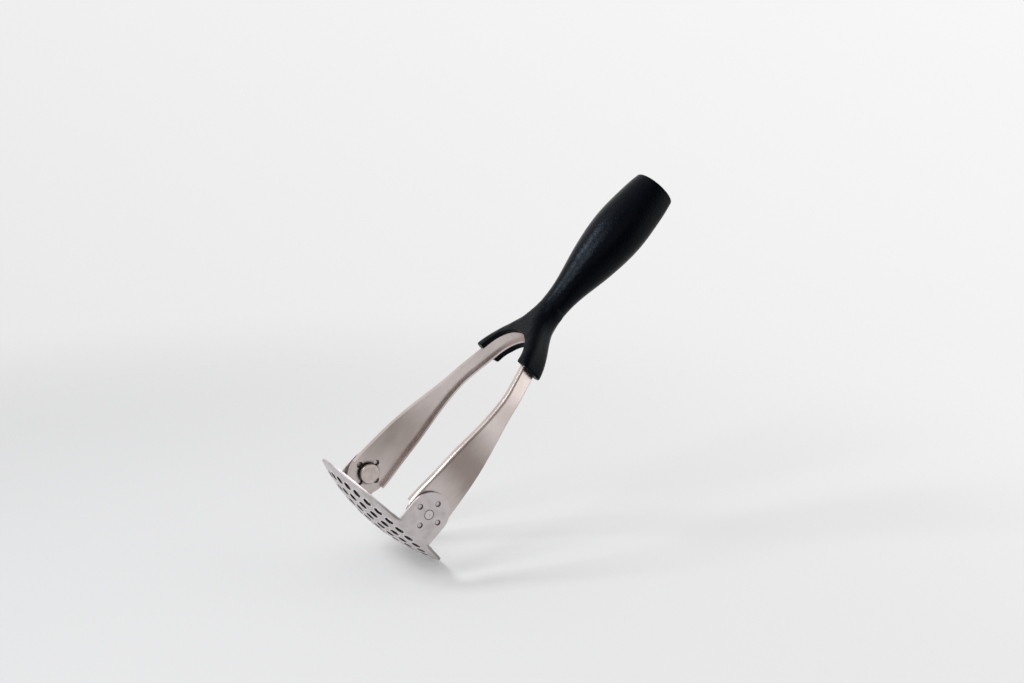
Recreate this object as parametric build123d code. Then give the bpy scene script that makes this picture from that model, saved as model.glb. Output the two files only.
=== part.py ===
"""Potato masher with a folding, perforated head.

Frame: millimetres. +Z runs up the handle, X is the axis the head folds about, and the origin is
the lowest point of the dished plate, below the middle of the handle.
"""
from build123d import *
import math
import os

# --- masher plate and its two ears: one stamping ---
PLATE_R = 46.2          # outside radius of the round plate
RIM_TOP_Z = 10.2        # the rim curls up beside the ears as high as this
DISH_R = 128.0          # radius of the dished underside
PLATE_SHEET = 1.2
HOLE_R = 2.6
HOLE_EDGE = 0.3         # how far a punched edge is rounded over
RING_PITCH = 9.5        # radial step between the rings of holes
HOLES_PER_RING = 7      # each ring has this many more holes than the one inside it
RING_COUNT = 4
EAR_FACE_X = 44.4       # outer face of each ear
EAR_R = 13.4            # the ear's round top, and half its width
PIVOT_Z = 23.1
OUTER_BEND_R = 2.9      # bend between plate and ear, measured outside

# --- detents: half-pierced bosses in the ears, holes in the arms ---
DETENT_PCD_R = 8.0
DETENT_COUNT = 4
BOSS_R = 1.5
BOSS_HEIGHT = 0.7
BOSS_EDGE = 0.25
DETENT_HOLE_R = 2.0

# --- pivot pins ---
PIN_HEAD_R = 6.2
PIN_HEAD_THICK = 1.9
PIN_SHANK_R = 3.0
PIN_CLEARANCE = 0.05    # radial running clearance of the shank in the arm
TENON_R = 2.65          # end of the pin, riveted over in the ear
TENON_DIMPLE_R = 0.9
TENON_DIMPLE_DEPTH = 0.3
TENON_SEAT_CHAMFER = 0.25
HEAD_EDGE = 0.35
HEAD_GAP = 1.4          # from the arm's inner face to the underside of the pin head

# --- spring washers under the pin heads ---
WASHER_IN_R = 3.2
WASHER_OUT_R = 5.6
WASHER_THICK = 0.3
WASHER_RISE = 0.8

# --- arms: channel pressings ---
ARM_SHEET = 1.2
EAR_GAP = 1.0           # from the ear's inner face to the arm's outer face
ARM_END_R = 14.0        # the arm's round lower end, and half its greatest width
FLANGE_END_Z = 22.0     # the side flanges stop here
FLANGE_LOW = 4.8        # depth of the channel at the pivot
FLANGE_HIGH = 3.4       # depth of the channel in the fork
STRAIGHT_TOP_Z = 40.0   # the arm stands straight up to here
ARM_LEAN = ((-0.9, 60.0), (-2.8, 80.0), (-5.8, 98.0))     # (x from the straight part, z)
LEAN_END = (33.0, 112.0)
ARCH_CENTRE_Z = 123.5
ARCH_R = 26.7          # outer face of the strip over the crotch
ARM_TOP_HALF_W = 5.2
ARM_HALF_WIDTHS = ((13.1, 38.0), (11.2, 60.0), (8.1, 80.0), (5.9, 96.0))
ARM_NARROW_Z = 112.0    # above this the arm keeps its top width
ARM_BEND_R = 1.6
TANG_HALF_W = 4.4
TANG_TOP_Z = 174.0
TANG_GAP = 0.05         # from the middle plane to each tang
FLANGE_TOP_X = 6.0      # the flanges stop here, beside the tang

# --- rivets through the two tangs ---
RIVET_ZS = (157.0, 166.0)
RIVET_R = 1.5
RIVET_HEAD_R = 2.5
RIVET_HEAD_THICK = 0.8

# --- handle ---
HANDLE_TOP_Z = 273.0
NECK_Z = 172.0
NECK_R = 8.65
GRIP_PROFILE = ((9.8, 187.0), (13.0, 203.0), (16.0, 221.0), (17.2, 240.0), (15.9, 258.0))
HANDLE_END_R = 13.7
GRIP_END_SLOPE = -0.2   # the grip still narrows where it ends
END_EDGE_R = 0.7
FORK_END_Z = 127.5
FORK_HALF_DEPTH = 8.75
# (z, half width along X, corner radius) of the fork's sections, from the neck down
FORK_SECTIONS = (
    (164.0, 9.7, 8.4),
    (157.0, 11.9, 7.8),
    (150.0, 16.8, 7.0),
    (143.0, 22.5, 6.0),
    (136.0, 27.2, 5.0),
    (FORK_END_Z, 30.8, 4.2),
)
PRONG_PROUD = 0.4       # how far the prongs stand in past the strip's flanges
PRONG_SIDE_GAP = 0.1    # between a strip and the prong beside it
FORK_EDGE_R = 1.0
BORE_TOP_R = 11.2
BORE_NECK_R = 5.5
BORE_BOTTOM_Z = 196.0
BORE_PROFILE = ((9.0, 206.0), (12.9, 225.0), (13.9, 240.0), (13.0, 256.0))
CAP_R = 12.3
CAP_THICK = 2.4
CAP_EDGE = 0.4
CAP_SKIRT_LENGTH = 7.0
CAP_SKIRT_WALL = 1.6

# --- worked out from the above ---
EAR_IN_X = EAR_FACE_X - PLATE_SHEET
ARM_X = EAR_IN_X - EAR_GAP
ARM_IN_X = ARM_X - ARM_SHEET
HEAD_UNDER_X = ARM_IN_X - HEAD_GAP
FAR = 60.0              # longer than anything it has to cut through
CURVE_STEPS = 40        # an inset curve is drawn through this many steps

# --- how a bar or block sits on its own place ---
UPWARDS = (Align.CENTER, Align.CENTER, Align.MIN)
DOWNWARDS = (Align.CENTER, Align.CENTER, Align.MAX)
TO_THE_RIGHT = (Align.MIN, Align.CENTER, Align.MIN)


def along_x(radius, x_low, x_high, y=0.0, z=PIVOT_Z):
    """A round bar parallel to X."""
    bar = Cylinder(radius, x_high - x_low, rotation=(0, 90, 0), align=UPWARDS)
    return Pos(x_low, y, z) * bar


def detent_centres():
    """(y, z) of the detents: above, below, before and behind the pivot."""
    step = math.tau / DETENT_COUNT
    return [
        (DETENT_PCD_R * math.cos(step * i), PIVOT_Z + DETENT_PCD_R * math.sin(step * i))
        for i in range(DETENT_COUNT)
    ]


def mirrored(part):
    """The same thing on the other side of the middle plane."""
    return mirror(part, about=Plane.YZ)


def hole_cutter():
    """A punch that leaves both edges of the hole eased."""
    flare_depth = 2 * HOLE_EDGE
    punch = Cylinder(HOLE_R, 3 * PLATE_SHEET)
    wide_r = HOLE_R + flare_depth
    low_flare = Cone(wide_r, HOLE_R, flare_depth, align=UPWARDS)
    high_flare = Cone(HOLE_R, wide_r, flare_depth, align=DOWNWARDS)
    reach = PLATE_SHEET / 2 + flare_depth / 2
    return punch + Pos(0, 0, -reach) * low_flare + Pos(0, 0, reach) * high_flare


def hole_places():
    """Places of the perforations, square to the dish: a middle hole and rings around it."""
    middle_r = DISH_R - PLATE_SHEET / 2
    places = [Pos(0, 0, DISH_R - middle_r)]
    for ring in range(1, RING_COUNT + 1):
        count = HOLES_PER_RING * ring
        tilt = math.degrees(RING_PITCH * ring / DISH_R)
        half_step = 0.5 if count % 2 == 0 else 0.0
        for i in range(count):
            turn = 360 / count * (i + half_step)
            spoke = Rot(0, 0, turn) * Rot(0, -tilt, 0)
            places.append(Pos(0, 0, DISH_R) * spoke * Pos(0, 0, -middle_r))
    return places


def dish_form(radius, half_width, bend_r):
    """A ball cut flat on two sides, with its two round edges eased: one face of the stamping."""
    form = Sphere(radius) & Box(2 * half_width, 3 * radius, 3 * radius)
    return Pos(0, 0, DISH_R) * form.fillet(bend_r, form.edges().filter_by(GeomType.CIRCLE))


def ear_prism():
    """Everything the right ear may fill, seen along X: a round top on straight sides."""
    start_x = EAR_IN_X - OUTER_BEND_R
    sides = Pos(start_x, 0, 0) * Box(FAR - start_x, 2 * EAR_R, PIVOT_Z, align=TO_THE_RIGHT)
    return sides + along_x(EAR_R, start_x, FAR)


def masher_plate():
    """The dished plate with its two upright ears, the perforations and the detent bosses."""
    outer_form = dish_form(DISH_R, EAR_FACE_X, OUTER_BEND_R)
    inner_form = dish_form(DISH_R - PLATE_SHEET, EAR_IN_X, OUTER_BEND_R - PLATE_SHEET)
    rim = Cylinder(PLATE_R, RIM_TOP_Z, align=UPWARDS)
    ear = ear_prism()
    plate = (outer_form - inner_form) & (rim + ear + mirrored(ear))
    plate -= [place * hole_cutter() for place in hole_places()]
    for y, z in detent_centres():
        boss = along_x(BOSS_R, EAR_IN_X - BOSS_HEIGHT, EAR_IN_X + BOSS_EDGE, y, z)
        boss = boss.chamfer(BOSS_EDGE, None, boss.edges().group_by(Axis.X)[0])
        recess = along_x(BOSS_R, EAR_FACE_X - BOSS_HEIGHT, EAR_FACE_X, y, z)
        plate = plate + boss + mirrored(boss) - recess - mirrored(recess)
    bore = along_x(TENON_R, EAR_IN_X, EAR_FACE_X)
    seat_r = TENON_R + TENON_SEAT_CHAMFER
    seat_cone = Cone(seat_r, TENON_R, TENON_SEAT_CHAMFER, rotation=(0, -90, 0), align=UPWARDS)
    seat = Pos(EAR_FACE_X, 0, PIVOT_Z) * seat_cone
    return plate - bore - mirrored(bore) - seat - mirrored(seat)


def pivot_pin():
    """Right-hand pin: a broad button head inside the arm, and an end riveted in the ear."""
    head = along_x(PIN_HEAD_R, HEAD_UNDER_X - PIN_HEAD_THICK, HEAD_UNDER_X)
    head = head.fillet(HEAD_EDGE, head.edges().group_by(Axis.X)[0])
    shank = along_x(PIN_SHANK_R, HEAD_UNDER_X, EAR_IN_X)
    tenon = along_x(TENON_R, EAR_IN_X, EAR_FACE_X)
    dimple = along_x(TENON_DIMPLE_R, EAR_FACE_X - TENON_DIMPLE_DEPTH, EAR_FACE_X)
    return head + shank + tenon - dimple


def spring_washer():
    """Right-hand washer: a shallow cone that stands on the pin head."""
    with BuildPart() as washer:
        with BuildSketch(Plane.XY.offset(PIVOT_Z)):
            with BuildLine():
                Polyline(
                    (HEAD_UNDER_X, WASHER_OUT_R),
                    (HEAD_UNDER_X + WASHER_THICK, WASHER_OUT_R),
                    (HEAD_UNDER_X + WASHER_THICK + WASHER_RISE, WASHER_IN_R),
                    (HEAD_UNDER_X + WASHER_RISE, WASHER_IN_R),
                    close=True,
                )
            make_face()
        revolve(axis=Axis((0, 0, PIVOT_Z), (1, 0, 0)))
    return washer.part


def arm_face_curve():
    """Outer face of the right arm in the XZ plane, from below the pivot up to the crotch."""
    tangent_angle = math.atan2(LEAN_END[1] - ARCH_CENTRE_Z, LEAN_END[0])
    reach = math.hypot(LEAN_END[0], LEAN_END[1] - ARCH_CENTRE_Z)
    touch_angle = tangent_angle + math.acos(ARCH_R / reach)
    touch = (ARCH_R * math.cos(touch_angle), ARCH_CENTRE_Z + ARCH_R * math.sin(touch_angle))
    lean_dir = (-math.sin(touch_angle), math.cos(touch_angle))
    lean_points = [(ARM_X, STRAIGHT_TOP_Z)]
    lean_points += [(ARM_X + dx, z) for dx, z in ARM_LEAN]
    lean_points += [LEAN_END]
    straight = Line((ARM_X, 0), (ARM_X, STRAIGHT_TOP_Z))
    lean = Spline(lean_points, tangents=[(0, 1), lean_dir])
    run = Line(LEAN_END, touch)
    touch_degrees = math.degrees(touch_angle)
    arch = CenterArc((0, ARCH_CENTRE_Z), ARCH_R, touch_degrees, 90 - touch_degrees)
    return Wire([straight.edge(), lean.edge(), run.edge(), arch.edge()])


def inside_curve(face_curve, depth_low, depth_high):
    """A curve a changing depth inside the arm's outer face."""
    points = []
    for i in range(CURVE_STEPS + 1):
        u = i / CURVE_STEPS
        at = face_curve @ u
        run = face_curve % u
        depth = depth_low + (depth_high - depth_low) * u
        points.append((at.X - run.Y * depth, at.Y + run.X * depth))
    return Spline(points)


def band(face_curve, near, far):
    """The sheet between two curves inside the arm's outer face, drawn out to both sides."""
    near_edge = inside_curve(face_curve, *near).edge() if near else face_curve
    far_edge = inside_curve(face_curve, *far).edge()
    low = Line(near_edge @ 0, far_edge @ 0)
    high = Line(near_edge @ 1, far_edge @ 1)
    outline = Wire([*near_edge.edges(), high.edge(), far_edge, low.edge()])
    half_depth = ARM_END_R + 1
    return extrude(Plane.XZ.offset(-half_depth) * Face(outline), 2 * half_depth)


def arm_front_solid(inset):
    """The arm seen along X, its width less an inset on every side, drawn out along X."""
    end_r = ARM_END_R - inset
    top_half_w = ARM_TOP_HALF_W - inset
    widths = [(half_w - inset, z) for half_w, z in ARM_HALF_WIDTHS]
    side_points = [(end_r, PIVOT_Z), *widths, (top_half_w, ARM_NARROW_Z)]
    side = Spline(side_points, tangents=[(0, 1), (0, 1)])
    top_z = ARCH_CENTRE_Z + ARCH_R + 1
    upright = Line(side @ 1, (top_half_w, top_z))
    edges = [
        side.edge(),
        upright.edge(),
        Line((top_half_w, top_z), (-top_half_w, top_z)).edge(),
        mirror(upright, about=Plane.YZ).edge(),
        mirror(side, about=Plane.YZ).edge(),
        CenterArc((0, PIVOT_Z), end_r, 180, 180).edge(),
    ]
    return extrude(Plane.YZ * Face(Wire(edges)), FAR)


def bend_edges(blank, face_curve):
    """The long edges where the arm's outer face turns into its flanges."""
    edges = []
    for edge in blank.edges():
        middle = edge.position_at(0.5)
        on_face = face_curve.distance_to(Vertex(middle.X, middle.Z, 0)) < ARM_SHEET / 10
        if on_face and abs(middle.Y) > ARM_TOP_HALF_W / 2:
            edges.append(edge)
    return edges


def arm():
    """Right arm: a channel whose tang turns up into the handle."""
    face_curve = arm_face_curve()
    blank = band(face_curve, None, (FLANGE_LOW, FLANGE_HIGH)) & arm_front_solid(0)
    blank = blank.fillet(ARM_BEND_R, bend_edges(blank, face_curve))
    beyond_flanges = (2 * FLANGE_LOW, 2 * FLANGE_HIGH)
    hollow = band(face_curve, (ARM_SHEET, ARM_SHEET), beyond_flanges) & arm_front_solid(ARM_SHEET)
    channel = blank - hollow
    channel -= Box(2 * ARM_IN_X, FAR, FLANGE_END_Z, align=UPWARDS)
    crotch_z = ARCH_CENTRE_Z + ARCH_R
    strip_under = Pos(0, 0, crotch_z - ARM_SHEET)
    channel -= strip_under * Box(2 * FLANGE_TOP_X, FAR, FLANGE_LOW, align=DOWNWARDS)
    channel -= Box(2 * TANG_GAP, FAR, 2 * TANG_TOP_Z)
    tang_length = TANG_TOP_Z - crotch_z
    tang = Box(ARM_SHEET, 2 * TANG_HALF_W, tang_length, align=TO_THE_RIGHT)
    channel += strip_under * Pos(TANG_GAP, 0, 0) * tang
    channel -= along_x(PIN_SHANK_R + PIN_CLEARANCE, 0, FAR)
    for y, z in detent_centres():
        channel -= along_x(DETENT_HOLE_R, 0, FAR, y, z)
    return channel


def tang_rivets():
    """Two rivets that hold the tangs back to back inside the neck."""
    rivets = []
    head_in = TANG_GAP + ARM_SHEET
    head_out = head_in + RIVET_HEAD_THICK
    for z in RIVET_ZS:
        shank = along_x(RIVET_R, -head_in, head_in, 0, z)
        head = along_x(RIVET_HEAD_R, head_in, head_out, 0, z)
        rivets.append(shank + head + mirrored(head))
    return Compound(rivets)


def handle_grip():
    """The round part of the handle, from the neck up."""
    with BuildPart() as grip:
        with BuildSketch(Plane.XZ):
            with BuildLine():
                side = Spline(
                    [(NECK_R, NECK_Z), *GRIP_PROFILE, (HANDLE_END_R, HANDLE_TOP_Z)],
                    tangents=[(0, 1), (GRIP_END_SLOPE, 1)],
                )
                Polyline(side @ 1, (0, HANDLE_TOP_Z), (0, NECK_Z), side @ 0)
            make_face()
        revolve(axis=Axis.Z)
    solid = grip.part
    return solid.fillet(END_EDGE_R, solid.edges().group_by(Axis.Z)[-1])


def handle_fork():
    """The flattened lower end, before the crotch is cut out of it."""
    sections = [Plane.XY.offset(NECK_Z) * Circle(NECK_R)]
    for z, half_width, corner_r in FORK_SECTIONS:
        outline = RectangleRounded(2 * half_width, 2 * FORK_HALF_DEPTH, corner_r)
        sections.append(Plane.XY.offset(z) * outline)
    return loft(sections)


def handle_hollow():
    """The bore of the hollow grip, with the end cap's seat."""
    floor_z = HANDLE_TOP_Z - CAP_THICK
    with BuildPart() as hollow:
        with BuildSketch(Plane.XZ):
            with BuildLine():
                side = Spline([(BORE_NECK_R, BORE_BOTTOM_Z), *BORE_PROFILE, (BORE_TOP_R, floor_z)])
                Polyline(side @ 1, (0, floor_z), (0, BORE_BOTTOM_Z), side @ 0)
            make_face()
        revolve(axis=Axis.Z)
    seat = Cylinder(CAP_R, CAP_THICK, align=DOWNWARDS)
    skirt_room = Cylinder(BORE_TOP_R, CAP_THICK + CAP_SKIRT_LENGTH, align=DOWNWARDS)
    return hollow.part + Pos(0, 0, HANDLE_TOP_Z) * (seat + skirt_room)


def room_inside(face_curve, depth, half_depth):
    """Everything between the middle plane and a curve inside the arm's outer face, on both sides."""
    edge = inside_curve(face_curve, depth, depth).edge() if depth else face_curve
    low = edge @ 0
    high = edge @ 1
    closing = Polyline((high.X, high.Y), (0, high.Y), (0, 0), (low.X, low.Y))
    section = Face(Wire([*edge.edges(), *closing.edges()]))
    half = extrude(Plane.XZ.offset(-half_depth) * section, 2 * half_depth)
    return half + mirrored(half)


def handle_body(inserts):
    """The moulded handle, formed round the tangs, with a groove in each branch for its arm."""
    face_curve = arm_face_curve()
    crotch = room_inside(face_curve, FLANGE_HIGH + PRONG_PROUD, FAR)
    body = (handle_grip() + handle_fork()) - crotch
    end_edges = body.edges().group_by(Axis.Z)[0]
    body = body.fillet(FORK_EDGE_R, end_edges)
    body -= room_inside(face_curve, 0, ARM_TOP_HALF_W + PRONG_SIDE_GAP)
    return body - handle_hollow() - inserts


def handle_end_cap():
    """A disc flush with the handle's end, with a skirt that presses into the bore."""
    disc = Pos(0, 0, HANDLE_TOP_Z) * Cylinder(CAP_R, CAP_THICK, align=DOWNWARDS)
    disc = disc.chamfer(CAP_EDGE, None, disc.edges().group_by(Axis.Z)[-1])
    skirt = Cylinder(BORE_TOP_R, CAP_SKIRT_LENGTH, align=DOWNWARDS)
    skirt -= Cylinder(BORE_TOP_R - CAP_SKIRT_WALL, CAP_SKIRT_LENGTH, align=DOWNWARDS)
    return disc + Pos(0, 0, HANDLE_TOP_Z - CAP_THICK) * skirt


def main():
    """Make every sub-part and write one STEP file for each."""
    right_arm = arm()
    left_arm = mirrored(right_arm)
    right_pin = pivot_pin()
    right_washer = spring_washer()
    rivets = tang_rivets()
    nodes = {
        "masher_plate": masher_plate(),
        "right_pivot_pin": right_pin,
        "left_pivot_pin": mirrored(right_pin),
        "right_spring_washer": right_washer,
        "left_spring_washer": mirrored(right_washer),
        "right_arm": right_arm - rivets.solids(),
        "left_arm": left_arm - rivets.solids(),
        "tang_rivets": rivets,
        "handle_body": handle_body([right_arm, left_arm, *rivets.solids()]),
        "handle_end_cap": handle_end_cap(),
    }
    os.makedirs("parts", exist_ok=True)
    for name, shape in nodes.items():
        export_step(shape, f"parts/{name}.step")


main()
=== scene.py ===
# %% [markdown]
# A potato masher: a dished, perforated plate that folds between two sprung steel arms, and a
# moulded black handle that forks over their upper ends. The CAD model holds every size and joint.
# Here each piece gets its finish, and the perforations get the burnished lips a punch leaves.

# %% Load the frame
import bpy
import math
from mathutils import Matrix, Vector


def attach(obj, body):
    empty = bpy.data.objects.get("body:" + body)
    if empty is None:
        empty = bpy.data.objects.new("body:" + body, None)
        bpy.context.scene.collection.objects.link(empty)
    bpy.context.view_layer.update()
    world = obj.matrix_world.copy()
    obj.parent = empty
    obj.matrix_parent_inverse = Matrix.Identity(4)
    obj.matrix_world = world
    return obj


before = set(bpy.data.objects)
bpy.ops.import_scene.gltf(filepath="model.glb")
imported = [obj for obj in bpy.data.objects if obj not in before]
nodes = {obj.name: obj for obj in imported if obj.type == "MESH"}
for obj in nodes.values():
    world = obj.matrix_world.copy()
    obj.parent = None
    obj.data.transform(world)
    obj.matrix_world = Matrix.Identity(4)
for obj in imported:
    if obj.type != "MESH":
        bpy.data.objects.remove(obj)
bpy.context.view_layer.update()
MM = 0.001
print("nodes:", sorted(nodes))

# %% [markdown]
# The masher is seen from one side, a little from below, and it leans over in the picture. The
# object stays upright in its own frame, so the camera is turned about its line of sight instead.

# %% Camera
CAMERA_AZIMUTH = math.radians(59.1)      # 0 looks along +Y
CAMERA_ELEVATION = math.radians(-10.6)
CAMERA_ROLL = math.radians(40.5)
CAMERA_DISTANCE = 946.6 * MM
CAMERA_LENS = 53.5
LOOKED_AT = Vector((-11.3, 0, 141.0)) * MM

camera_back = Vector((
    math.sin(CAMERA_AZIMUTH) * math.cos(CAMERA_ELEVATION),
    -math.cos(CAMERA_AZIMUTH) * math.cos(CAMERA_ELEVATION),
    math.sin(CAMERA_ELEVATION),
))
level = camera_back.to_track_quat("Z", "Y").to_matrix()
camera_turn = level @ Matrix.Rotation(CAMERA_ROLL, 3, "Z")
camera_data = bpy.data.cameras.new("camera")
camera_data.lens = CAMERA_LENS
camera_data.clip_start = 10 * MM
camera = bpy.data.objects.new("camera", camera_data)
camera.matrix_world = Matrix.Translation(LOOKED_AT + CAMERA_DISTANCE * camera_back) @ camera_turn.to_4x4()
bpy.context.collection.objects.link(camera)
bpy.context.scene.camera = camera
bpy.context.scene.view_settings.view_transform = "Standard"
print("camera at, mm:", [round(place / MM) for place in camera.location])


def in_picture(right, up, nearer):
    """A direction given as the picture shows it, turned into the frame's axes."""
    return (camera_turn @ Vector((right, up, nearer))).normalized()


# %% [markdown]
# Node trees are long to write socket by socket. This small class wraps one socket, so that sums
# on it add the maths nodes, and one method adds any other node. Shaders, the studio's surround
# and the Geometry Nodes tree all use it. Most finishes below are masks: near() and ease() make
# them from a measured distance, and paint() lays one colour over another with them.

# %% A socket that can be reckoned with
class Wire:
    """One output socket of a node tree, or only the tree when nothing has been made in it yet."""

    def __init__(self, tree, socket=None):
        self.tree = tree
        self.socket = socket

    def node(self, kind, settings=None, inputs=None, output=0):
        """Add a node: its settings first, then a value or a link for each of its sockets."""
        made = self.tree.nodes.new(kind)
        for name, value in (settings or {}).items():
            setattr(made, name, value)
        for name, value in (inputs or {}).items():
            if isinstance(value, Wire):
                self.tree.links.new(value.socket, made.inputs[name])
            else:
                made.inputs[name].default_value = value
        return Wire(self.tree, made.outputs[output])

    def maths(self, operation, *values):
        return self.node("ShaderNodeMath", {"operation": operation}, dict(enumerate(values)))

    def __add__(self, other):
        return self.maths("ADD", self, other)

    def __mul__(self, other):
        return self.maths("MULTIPLY", self, other)

    def __sub__(self, other):
        return self.maths("SUBTRACT", self, other)

    def __rsub__(self, other):
        return self.maths("SUBTRACT", other, self)

    def __truediv__(self, other):
        return self.maths("DIVIDE", self, other)

    __radd__ = __add__
    __rmul__ = __mul__

    def size(self):
        return self.maths("ABSOLUTE", self)

    def sign(self):
        return self.maths("SIGN", self)

    def root(self):
        return self.maths("SQRT", self)

    def larger(self, other):
        return self.maths("MAXIMUM", self, other)

    def ease(self, low, high):
        """0 below low, 1 above high and a smooth step between them."""
        inputs = {"Value": self, "From Min": low, "From Max": high}
        return self.node("ShaderNodeMapRange", {"interpolation_type": "SMOOTHSTEP"}, inputs)

    def near(self, low, high):
        """1 where the socket is within low of 0, fading to nothing at high, on both sides."""
        return 1 - self.size().ease(low, high)

    def paint(self, under, over):
        """The colour over laid on the colour under, with this socket as the mask."""
        return self.node("ShaderNodeMix", {"data_type": "RGBA"}, {0: self, 6: under, 7: over}, output=2)

    def along(self, direction):
        """How far a vector socket reaches in a fixed direction."""
        inputs = {0: self, 1: tuple(direction)}
        return self.node("ShaderNodeVectorMath", {"operation": "DOT_PRODUCT"}, inputs, output="Value")


# %% [markdown]
# A plain pale studio. The camera sees a light grey that is a little brighter up and to the right,
# while the metal mirrors a room that is bright on the backdrop's side, has one bright panel at the
# right and is dim behind the camera.
# Steel only looks like steel when it has such a difference to reflect.

# %% The studio's surround
BACKDROP_GREY = 0.853
BRIGHTER_RIGHT = 0.115
BRIGHTER_UP = 0.21
ROOM_DIM = 0.18
ROOM_BACKDROP = 0.90
ROOM_SIDE = 1.22
TOWARDS_BACKDROP = in_picture(-0.75, 0.40, -0.52)
TOWARDS_SIDE = in_picture(0.95, 0.20, -0.08)
BACKDROP_SPREAD = (-0.55, 0.75)          # cosines where the bright side starts and is full
SIDE_SPREAD = (0.70, 0.96)
WARM_GREEN = 0.975
WARM_BLUE = 0.965

world = bpy.data.worlds.new("studio")
world.use_nodes = True
background = world.node_tree.nodes["Background"]
surround = Wire(world.node_tree)
look = surround.node("ShaderNodeTexCoord", output="Generated")
backdrop_part = look.along(TOWARDS_BACKDROP).ease(*BACKDROP_SPREAD)
side_part = look.along(TOWARDS_SIDE).ease(*SIDE_SPREAD)
room = ROOM_DIM + ROOM_BACKDROP * backdrop_part + ROOM_SIDE * side_part
seen_directly = surround.node("ShaderNodeLightPath", output="Is Camera Ray")
room_colour = surround.node("ShaderNodeCombineColor", inputs={
    0: room, 1: room * WARM_GREEN, 2: room * WARM_BLUE,
})
slope = BRIGHTER_RIGHT * look.along(in_picture(1, 0, 0)) + BRIGHTER_UP * look.along(in_picture(0, 1, 0))
backdrop = BACKDROP_GREY + slope
backdrop_colour = surround.node("ShaderNodeCombineColor", inputs={
    0: backdrop, 1: backdrop, 2: backdrop,
})
shown = seen_directly.paint(room_colour, backdrop_colour)
world.node_tree.links.new(shown.socket, background.inputs["Color"])
bpy.context.scene.world = world
print("world nodes:", len(world.node_tree.nodes))

# %% [markdown]
# Three soft boxes: a key from the left of the picture, which draws the highlight down the handle, one
# nearer the camera, which throws the faint shadow to the right of the plate, and a weak large one
# above the camera, which reaches into the channels of the arms.

# %% Soft boxes
def softbox(name, towards, distance, size, watts, colour):
    """A square lamp that looks at the masher from a direction given as the picture shows it."""
    direction = in_picture(*towards)
    lamp = bpy.data.lights.new(name, "AREA")
    lamp.size = size
    lamp.energy = watts
    lamp.color = colour
    light = bpy.data.objects.new(name, lamp)
    facing = direction.to_track_quat("Z", "Y").to_matrix().to_4x4()
    light.matrix_world = Matrix.Translation(LOOKED_AT + distance * direction) @ facing
    light.visible_camera = False
    bpy.context.collection.objects.link(light)
    return light


key = softbox("key_light", (-0.69, 0.68, 0.23), 1.10, 0.34, 7.5, (0.90, 0.95, 1.0))
top = softbox("top_light", (-0.50, 0.47, 0.73), 1.10, 0.40, 7.0, (0.98, 0.99, 1.0))
front = softbox("front_light", (0.24, 0.27, 0.93), 1.40, 0.60, 1.2, (1.0, 0.98, 0.96))
print("lamps:", [light.name for light in (key, top, front)])

# %% [markdown]
# The floor slopes as the leaning masher sees it: its plane touches the lowest point of the plate's
# rim. It is a wide disc that thins out into the backdrop, and it is drawn from above only, so it
# never hides the masher from a camera that goes round behind it. Part of its light is its own
# glow, as on a lit table, which keeps the shadow faint.

# %% Floor
FLOOR_RADIUS = 900 * MM
FLOOR_SOLID_RADIUS = 260 * MM
FLOOR_CLEAR_RADIUS = 840 * MM
FLOOR_SIDES = 96
FLOOR_GAP = 0.3 * MM
CAMERA_ABOVE_FLOOR = math.radians(12)
FLOOR_GREY = (0.90, 0.90, 0.90, 1)
FLOOR_GLOW = 0.41
FLOOR_GLOW_SHARE = 0.60
GLOW_RIGHT = 0.68
GLOW_BACK = 0.29

floor_up = in_picture(0, math.cos(CAMERA_ABOVE_FLOOR), math.sin(CAMERA_ABOVE_FLOOR))
plate_places = [vertex.co for vertex in nodes["masher_plate"].data.vertices]
touching = min(plate_places, key=lambda place: place.dot(floor_up))
floor_mesh = bpy.data.meshes.new("floor")
turns = [math.tau * i / FLOOR_SIDES for i in range(FLOOR_SIDES)]
edge = [(FLOOR_RADIUS * math.cos(turn), FLOOR_RADIUS * math.sin(turn), 0) for turn in turns]
floor_mesh.from_pydata(edge, [], [range(FLOOR_SIDES)])
floor = bpy.data.objects.new("floor", floor_mesh)
floor_slope = floor_up.to_track_quat("Z", "Y").to_matrix().to_4x4()
floor.matrix_world = Matrix.Translation(touching - FLOOR_GAP * floor_up) @ floor_slope
bpy.context.collection.objects.link(floor)

floor_finish = bpy.data.materials.new("floor_paint")
floor_finish.use_nodes = True
floor_tree = Wire(floor_finish.node_tree)
from_touch = floor_tree.node("ShaderNodeTexCoord", output="Object")
distance_out = floor_tree.node(
    "ShaderNodeVectorMath", {"operation": "LENGTH"}, {0: from_touch}, output="Value",
)
from_behind = floor_tree.node("ShaderNodeNewGeometry", output="Backfacing")
solid = (1 - distance_out.ease(FLOOR_SOLID_RADIUS, FLOOR_CLEAR_RADIUS)) * (1 - from_behind)
clear = floor_tree.node("ShaderNodeBsdfTransparent")
matt = floor_tree.node("ShaderNodeBsdfDiffuse", inputs={"Color": FLOOR_GREY})
into_floor = floor.matrix_world.to_3x3().inverted()
glow_slope = (
    GLOW_RIGHT * from_touch.along(into_floor @ in_picture(1, 0, 0))
    - GLOW_BACK * from_touch.along(into_floor @ in_picture(0, 0, 1))
)
glow_level = FLOOR_GLOW + glow_slope
glow_colour = floor_tree.node("ShaderNodeCombineColor", inputs={
    0: glow_level, 1: glow_level, 2: glow_level,
})
glow = floor_tree.node("ShaderNodeEmission", inputs={"Color": glow_colour})
paper = floor_tree.node("ShaderNodeMixShader", inputs={0: FLOOR_GLOW_SHARE, 1: matt, 2: glow})
floor_shade = floor_tree.node("ShaderNodeMixShader", inputs={0: solid, 1: clear, 2: paper})
output_node = floor_finish.node_tree.nodes["Material Output"]
floor_finish.node_tree.links.new(floor_shade.socket, output_node.inputs["Surface"])
floor_mesh.materials.append(floor_finish)
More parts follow.
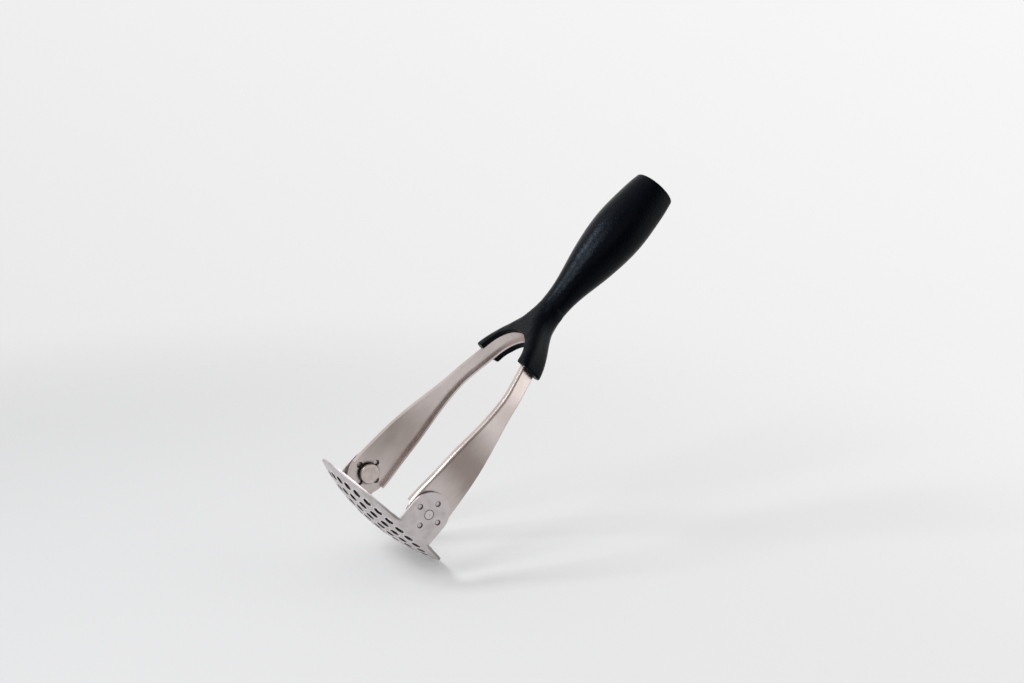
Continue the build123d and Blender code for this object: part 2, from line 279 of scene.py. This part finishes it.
print("floor touches the plate at, mm:", [round(place / MM, 1) for place in touching])

# %% [markdown]
# Every finish starts the same way: a principled shader whose constants sit on its own sockets,
# the Object coordinates in metres, and noise with a size that can be measured on the real thing.
# Noise drawn out along one axis is what a belt or a mop leaves on brushed metal.

# %% Parts that every finish needs
def new_finish(name, **constants):
    """A material, its principled shader with some constants, and its Object coordinates."""
    material = bpy.data.materials.new(name)
    material.use_nodes = True
    shader = material.node_tree.nodes["Principled BSDF"]
    for socket, value in constants.items():
        shader.inputs[socket.replace("_", " ").title().replace("Ior", "IOR")].default_value = value
    coords = Wire(material.node_tree).node("ShaderNodeTexCoord", output="Object")
    return material, shader, coords


def noise(coords, size, drawn_out=(1, 1, 1), detail=3.0):
    """Noise with features this many millimetres across, drawn out along the axes."""
    scale = tuple(1 / (size * MM * longer) for longer in drawn_out)
    placed = coords.node("ShaderNodeMapping", inputs={"Vector": coords, "Scale": scale})
    return coords.node("ShaderNodeTexNoise", inputs={"Vector": placed, "Scale": 1.0, "Detail": detail})


def bump(height, depth):
    """A surface pushed out by a height from 0 to 1 that stands for this many millimetres."""
    return height.node("ShaderNodeBump", inputs={"Height": height, "Strength": 1.0, "Distance": depth * MM})


def join(shader, **wires):
    """Link what changes over the surface to the shader's sockets."""
    for socket, wire in wires.items():
        wire.tree.links.new(wire.socket, shader.inputs[socket.replace("_", " ")])


def dress(node_name, material):
    """Give a CAD node its finish in every slot."""
    for slot in nodes[node_name].material_slots:
        slot.material = material


# %% [markdown]
# The arms are stainless strip, pressed to a channel and then brushed along their length. The fine
# scratches are nearly invisible one by one, but they spread each highlight across the strip, and
# broader streaks keep the face from looking printed. A painted dark band at mid-height of the outer
# face is painted shade for the dark reflection there; the inner face is darker and duller near the
# plate, and painted shade tones down the reflection on the flanges' outer faces. Painted shade, with
# some residue, darkens the corner round each pin head. All of these are masks, worked out
# from the height, the way a face looks and the distance from the hinge's axis.

# %% Arm steel
ARM_LIGHT = (0.750, 0.683, 0.662, 1)
ARM_DARK = (0.330, 0.275, 0.252, 1)
# Height and reach of the painted dark band on the outer faces, painted shade for their dark reflection
DARK_BAND_HEIGHT = 59 * MM
DARK_BAND_REACH = 28 * MM
HINGE_HEIGHT = 23.1 * MM
PIN_HEAD_RADIUS = 6.2 * MM
# Colour and reach of the painted shade, with some residue, round each pin head
PIN_SHADE_AND_RESIDUE = (0.030, 0.022, 0.018, 1)
PIN_SHADE_REACH = 2.4 * MM
# Height and reach of the darker, duller part of the inner faces near the plate
INNER_DARK_HEIGHT = 54 * MM
INNER_DARK_REACH = 40 * MM
FACING = (0.3, 0.8)                      # how squarely a face must look outwards to count as outer

arm_steel, arm_shader, at = new_finish("arm_steel", metallic=1.0)
scratches = noise(at, 0.16, (1, 1, 90), detail=2.0)
streaks = noise(at, 0.55, (1, 1, 30))
clouds = noise(at, 24.0, (1, 1, 1.6), detail=2.0)
sideways = at.along((1, 0, 0))
faces = at.node("ShaderNodeTexCoord", output="Normal")
forward = at.along((0, 1, 0))
height = at.along((0, 0, 1))
outwards = faces.along((1, 0, 0)) * sideways.sign()
outer_face = outwards.ease(*FACING)
inner_face = (0 - outwards).ease(*FACING)
# Painted shade on the flanges' outer faces, which tones down their bright reflection
flange_outside_shade = (faces.along((0, 1, 0)) * forward.sign()).ease(*FACING)
# Painted shade: a dark band at mid-height on the outer faces, standing in for their dark reflection there
painted_dark_band = (height - DARK_BAND_HEIGHT).near(0.0, DARK_BAND_REACH) * outer_face
# The inner faces are darker and duller towards the plate
inner_darkening = (height - INNER_DARK_HEIGHT).near(0.0, INNER_DARK_REACH) * inner_face
# Painted shade and the inner darkening, summed; they also add a little roughness
painted_shade_and_dulling = painted_dark_band * 0.85 + inner_darkening * 0.52 + flange_outside_shade * 0.45
over_pin = height - HINGE_HEIGHT
from_axis = (forward * forward + over_pin * over_pin).root()
# Painted shade, with some residue, round each pin head on the inner faces
pin_shade_and_residue = from_axis.near(PIN_HEAD_RADIUS, PIN_HEAD_RADIUS + PIN_SHADE_REACH) * inner_face
# Random tarnish plus the painted shade and darkening above
tarnish_and_shade = clouds.ease(0.40, 0.66) * 0.22 + streaks * 0.24 + scratches * 0.14 + painted_shade_and_dulling
metal = tarnish_and_shade.paint(ARM_LIGHT, ARM_DARK)
join(
    arm_shader,
    Base_Color=(0.85 * pin_shade_and_residue).paint(metal, PIN_SHADE_AND_RESIDUE),
    Roughness=0.20 + 0.12 * streaks + 0.08 * scratches + 0.06 * painted_shade_and_dulling,
    Normal=bump(scratches * 0.6 + streaks * 0.4, 0.02),
)
for side in ("left", "right"):
    dress(f"{side}_arm", arm_steel)
print("arm steel nodes:", len(arm_steel.node_tree.nodes))

# %% [markdown]
# The plate is one stamping with its ears. Its finish is cooler and finer than the arms', with a
# light grain across and a burnished halo round every hole, where the punch and the tumbling barrel
# have both rubbed. The halo is worked out from the same rule as the holes: which ring a point is
# in, and how far along the ring the nearest hole lies. Cut edges stay darker and matt, dirt draws a
# thin line round the riveted pin, and painted shade darkens the hole walls and a thin ring round
# the four detents of each ear.

# %% Plate steel
PLATE_RADIUS = 46.2 * MM
PLATE_SHEET = 1.2 * MM
DISH_RADIUS = 128.0 * MM
RING_PITCH = 9.5 * MM
HOLE_RADIUS = 2.6 * MM
RING_COUNT = 4
HOLES_PER_RING = 7
PLATE_LIGHT = (0.635, 0.588, 0.590, 1)
PLATE_DARK = (0.420, 0.378, 0.376, 1)
BURNISHED = (0.820, 0.790, 0.800, 1)
# Dark colour of cut edges, the dirt at the pin seam and the painted shade in holes and at detents
SHEARED_DIRT_AND_SHADE = (0.045, 0.038, 0.038, 1)
PIN_SEAM_RADIUS = 2.75 * MM
DETENT_REACH = 8.0 * MM
DETENT_RADIUS = 1.5 * MM

plate_steel, plate_shader, at = new_finish("plate_steel", metallic=1.0)
apart = at.node("ShaderNodeSeparateXYZ", inputs={0: at})
across = apart
forward = Wire(at.tree, apart.socket.node.outputs[1])
upward = Wire(at.tree, apart.socket.node.outputs[2])
out = (across * across + forward * forward).root()
arc = out.maths("ARCSINE", out / DISH_RADIUS) * DISH_RADIUS
ring_number = arc.maths("MINIMUM", arc.maths("ROUND", arc / RING_PITCH), RING_COUNT)
holes_here = (ring_number * HOLES_PER_RING).larger(1.0)
half_step = 0.5 * (1 - ring_number.maths("MODULO", ring_number, 2.0))
turn = forward.maths("ARCTAN2", forward, across) / math.tau * holes_here - half_step
to_next = (turn - turn.maths("ROUND", turn)) * math.tau * out / holes_here
to_ring = arc - ring_number * RING_PITCH
to_hole = (to_next * to_next + to_ring * to_ring).root()
on_dish = 1 - upward.ease(9.0 * MM, 11.0 * MM)
halo = to_hole.near(HOLE_RADIUS + 0.5 * MM, HOLE_RADIUS + 1.3 * MM) * on_dish
cut_edge = out.ease(PLATE_RADIUS - 0.5 * MM, PLATE_RADIUS - 0.1 * MM) * on_dish
# Painted shade: the hole walls and a thin ring just round each hole are darkened
hole_wall_shade = to_hole.near(HOLE_RADIUS + 0.25 * MM, HOLE_RADIUS + 0.50 * MM) * on_dish
rise = upward - HINGE_HEIGHT
from_pin = (forward * forward + rise * rise).root()
pin_seam = (from_pin - PIN_SEAM_RADIUS).near(0.15 * MM, 0.45 * MM)
from_side = forward.size() - DETENT_REACH
from_top = rise.size() - DETENT_REACH
to_side = from_side * from_side + rise * rise
to_top = from_top * from_top + forward * forward
to_detent = out.maths("MINIMUM", to_side, to_top).root()
# Painted shade: a thin dark ring round each detent recess
detent_shade = 0.75 * (to_detent - DETENT_RADIUS).near(0.10 * MM, 0.50 * MM)
grain = noise(at, 0.20, (12, 1, 12), detail=2.0)
mottle = noise(at, 7.0, detail=5.0)
dull = (mottle.ease(0.36, 0.72) * 0.34 + grain * 0.40).ease(0.0, 1.0)
clean = halo.paint(dull.paint(PLATE_LIGHT, PLATE_DARK), BURNISHED)
# Cut edges, dirt at the pin seam and painted shade in holes and at detents, in one dark mask
edge_dirt_and_shade = hole_wall_shade.larger(0.45 * cut_edge).larger(pin_seam.larger(detent_shade))
join(
    plate_shader,
    Base_Color=edge_dirt_and_shade.paint(clean, SHEARED_DIRT_AND_SHADE),
    Roughness=0.33 + 0.06 * mottle + 0.06 * grain - 0.10 * halo + 0.15 * hole_wall_shade + 0.25 * cut_edge,
    Normal=bump(grain, 0.01),
)
dress("masher_plate", plate_steel)
print("plate steel nodes:", len(plate_steel.node_tree.nodes))

# %% [markdown]
# The pins are turned from bar, so their faces carry fine rings about the axis of the hinge. Their
# riveted ends take the colour of the ears that they are dressed flush with. The washers are darker
# spring steel with a tempered tint, and the rivets share the pins' finish.

# %% Pin and washer steel
TURNING_PITCH = 0.42
WAVES_PER_SCALE = 20                     # a Wave Texture's bands are 20 times finer than its scale
PIN_LIGHT = (0.690, 0.610, 0.580, 1)
PIN_DARK = (0.470, 0.400, 0.372, 1)
WASHER_LIGHT = (0.300, 0.285, 0.290, 1)
WASHER_DARK = (0.160, 0.140, 0.135, 1)


def turned_rings(coords):
    """Rings about the hinge axis, as a turning tool leaves them, a little uneven."""
    placed = coords.node("ShaderNodeMapping", inputs={"Vector": coords, "Location": (0, 0, -HINGE_HEIGHT)})
    settings = {"wave_type": "RINGS", "rings_direction": "X", "wave_profile": "SIN"}
    scale = 1 / (TURNING_PITCH * MM) / WAVES_PER_SCALE
    inputs = {"Vector": placed, "Scale": scale, "Distortion": 0.6, "Detail": 1.0}
    return coords.node("ShaderNodeTexWave", settings, inputs, output=1)


def turned_finish(name, light, dark, roughness):
    """A turned metal finish: rings, a mottled tint and a rubbed roughness."""
    material, shader, coords = new_finish(name, metallic=1.0)
    rings = turned_rings(coords)
    smudge = noise(coords, 3.5, detail=4.0)
    riveted_end = coords.along((1, 0, 0)).size().ease(41 * MM, 43 * MM)
    turned = (smudge.ease(0.3, 0.75) * 0.6 + rings * 0.15).paint(light, dark)
    join(
        shader,
        Base_Color=riveted_end.paint(turned, PLATE_LIGHT),
        Roughness=roughness + 0.10 * smudge + 0.05 * rings,
        Normal=bump(rings * 0.7 + smudge * 0.3, 0.008),
    )
    return material


pin_steel = turned_finish("pin_steel", PIN_LIGHT, PIN_DARK, 0.26)
washer_steel = turned_finish("washer_steel", WASHER_LIGHT, WASHER_DARK, 0.34)
for side in ("left", "right"):
    dress(f"{side}_pivot_pin", pin_steel)
    dress(f"{side}_spring_washer", washer_steel)
dress("tang_rivets", pin_steel)
print("turned finishes:", pin_steel.name, washer_steel.name)

# %% [markdown]
# The handle is moulded in a spark-eroded tool, which leaves a fine even grain. It is nearly black
# with a blue cast, so almost all that is seen of it is gloss broken up by that grain. Broad patches,
# scattered at random, are rubbed a little smoother and lighter. The end cap comes from a plainer tool.

# %% Moulded black plastic
BLACK = (0.0005, 0.0006, 0.0013, 1)
RUBBED_BLACK = (0.0018, 0.0024, 0.0040, 1)
BLUE_SHEEN = (0.66, 0.82, 1.0, 1)
DULL_GLOSS = 0.08


def moulded_finish(name, grain_size, grain_depth, roughness):
    """Black plastic with the grain of its mould and rubbed patches."""
    material, shader, coords = new_finish(name, ior=1.45)
    shader.inputs["Specular IOR Level"].default_value = DULL_GLOSS
    shader.inputs["Specular Tint"].default_value = BLUE_SHEEN
    stipple = noise(coords, grain_size, detail=2.0)
    pits = noise(coords, 2.2 * grain_size, detail=1.0).ease(0.42, 0.70)
    rubbed = noise(coords, 30.0, (1, 1, 1.5), detail=2.0).ease(0.40, 0.68)
    specks = stipple.ease(0.56, 0.70)
    join(
        shader,
        Base_Color=(0.55 * rubbed + 0.35 * specks).paint(BLACK, RUBBED_BLACK),
        Roughness=roughness - 0.06 * rubbed + 0.10 * pits,
        Normal=bump(stipple * 0.6 + pits * 0.4, grain_depth),
    )
    return material


handle_plastic = moulded_finish("handle_plastic", 0.75, 0.11, 0.31)
cap_plastic = moulded_finish("cap_plastic", 0.40, 0.025, 0.36)
dress("handle_body", handle_plastic)
dress("handle_end_cap", cap_plastic)
print("moulded finishes:", handle_plastic.name, cap_plastic.name)

# %% [markdown]
# The punch enters from below and leaves a low bright lip there. On the upper face the sheet is
# drawn up to a rounded collar, darkened by the plate's painted shade of the hole walls, so each hole
# looks deeper than the sheet is thick. There are 71 on each face, so Geometry Nodes place them:
# points are numbered along the rings, their places are worked out on the dish, and one small ring
# is set on each.

# %% Lips of the perforations
LIP_RADIUS = HOLE_RADIUS + 0.68 * MM
LIP_THICKNESS = 0.22 * MM
LIP_SINK = 0.12 * MM
COLLAR_RADIUS = HOLE_RADIUS + 0.22 * MM
COLLAR_THICKNESS = 0.34 * MM
COLLAR_RISE = 0.06 * MM
LIP_SIDES = 20
LIP_FACETS = 6
HOLE_COUNT = 1 + HOLES_PER_RING * RING_COUNT * (RING_COUNT + 1) // 2
LIP_INPUTS = {
    "Holes": ("NodeSocketInt", HOLE_COUNT),
    "Ball Radius": ("NodeSocketFloat", DISH_RADIUS),
    "Ball Height": ("NodeSocketFloat", DISH_RADIUS),
    "Ring Pitch": ("NodeSocketFloat", RING_PITCH / DISH_RADIUS),
    "Lip Radius": ("NodeSocketFloat", LIP_RADIUS),
    "Lip Thickness": ("NodeSocketFloat", LIP_THICKNESS),
}


def lip_tree():
    """Lips on a ball: Ring Pitch is an angle, so the same tree fits the dish's two faces."""
    tree = bpy.data.node_groups.new("perforation_lips", "GeometryNodeTree")
    tree.interface.new_socket("Geometry", in_out="INPUT", socket_type="NodeSocketGeometry")
    tree.interface.new_socket("Geometry", in_out="OUTPUT", socket_type="NodeSocketGeometry")
    for name, (kind, value) in LIP_INPUTS.items():
        made = tree.interface.new_socket(name, in_out="INPUT", socket_type=kind)
        made.default_value = value
    start = Wire(tree)
    entry = tree.nodes.new("NodeGroupInput")
    given = {name: Wire(tree, entry.outputs[name]) for name in LIP_INPUTS}

    number = start.node("GeometryNodeInputIndex")
    spread = (1 + 8 * number / HOLES_PER_RING).root()
    ring_of = spread.maths("CEIL", (spread - 1) * 0.5 - 0.0001)
    before = 1 + HOLES_PER_RING * ring_of * (ring_of - 1) * 0.5
    in_ring = (ring_of * HOLES_PER_RING).larger(1.0)
    shifted = 0.5 * (1 - ring_of.maths("MODULO", ring_of, 2.0))
    angle = (number - before + shifted) / in_ring * math.tau
    tilt = ring_of * given["Ring Pitch"]
    slant = tilt.maths("SINE", tilt)
    normal = start.node("ShaderNodeCombineXYZ", inputs={
        0: slant * angle.maths("COSINE", angle),
        1: slant * angle.maths("SINE", angle),
        2: 0 - tilt.maths("COSINE", tilt),
    })
    scaling = {0: normal, "Scale": given["Ball Radius"]}
    reach = normal.node("ShaderNodeVectorMath", {"operation": "SCALE"}, scaling)
    centre = start.node("ShaderNodeCombineXYZ", inputs={2: given["Ball Height"]})
    place = reach.node("ShaderNodeVectorMath", {"operation": "ADD"}, {0: reach, 1: centre})
    points = start.node("GeometryNodePoints", inputs={"Count": given["Holes"], "Position": place})

    circle = start.node("GeometryNodeCurvePrimitiveCircle", inputs={
        "Resolution": LIP_SIDES, "Radius": given["Lip Radius"],
    })
    profile = start.node("GeometryNodeCurvePrimitiveCircle", inputs={
        "Resolution": LIP_FACETS, "Radius": given["Lip Thickness"],
    })
    lip = start.node("GeometryNodeCurveToMesh", inputs={"Curve": circle, "Profile Curve": profile})
    facing = start.node("FunctionNodeAlignRotationToVector", {"axis": "Z"}, {"Vector": normal})
    lips = start.node("GeometryNodeInstanceOnPoints", inputs={
        "Points": points, "Instance": lip, "Rotation": facing,
    })
    solid_lips = start.node("GeometryNodeRealizeInstances", inputs={"Geometry": lips})
    finished = start.node("GeometryNodeSetMaterial", inputs={
        "Geometry": solid_lips, "Material": plate_steel,
    })
    leave = tree.nodes.new("NodeGroupOutput")
    tree.links.new(finished.socket, leave.inputs["Geometry"])
    return tree


def grow(name, tree, body, slot, **values):
    """Run a tree on an empty mesh and keep the result as a plain mesh that rides on a body."""
    blank = bpy.data.objects.new(name + "_seed", bpy.data.meshes.new(name + "_seed"))
    bpy.context.collection.objects.link(blank)
    modifier = blank.modifiers.new("grow", "NODES")
    modifier.node_group = tree
    for item in tree.interface.items_tree:
        if item.in_out == "INPUT" and item.name in values:
            modifier[item.identifier] = values[item.name]
    evaluated = blank.evaluated_get(bpy.context.evaluated_depsgraph_get())
    mesh = bpy.data.meshes.new_from_object(evaluated)
    mesh.name = name
    blank.modifiers.clear()
    bpy.data.objects.remove(blank)
    for polygon in mesh.polygons:
        polygon.use_smooth = True
    piece = bpy.data.objects.new(name, mesh)
    bpy.context.collection.objects.link(piece)
    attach(piece, body)
    print(name, "faces:", len(mesh.polygons))
    return piece


lips = lip_tree()
grow("lower_hole_lips", lips, "head", "plate_steel", **{"Ball Radius": DISH_RADIUS - LIP_SINK})
grow("upper_hole_collars", lips, "head", "plate_steel", **{
    "Ball Radius": DISH_RADIUS - PLATE_SHEET - COLLAR_RISE,
    "Lip Radius": COLLAR_RADIUS,
    "Lip Thickness": COLLAR_THICKNESS,
})
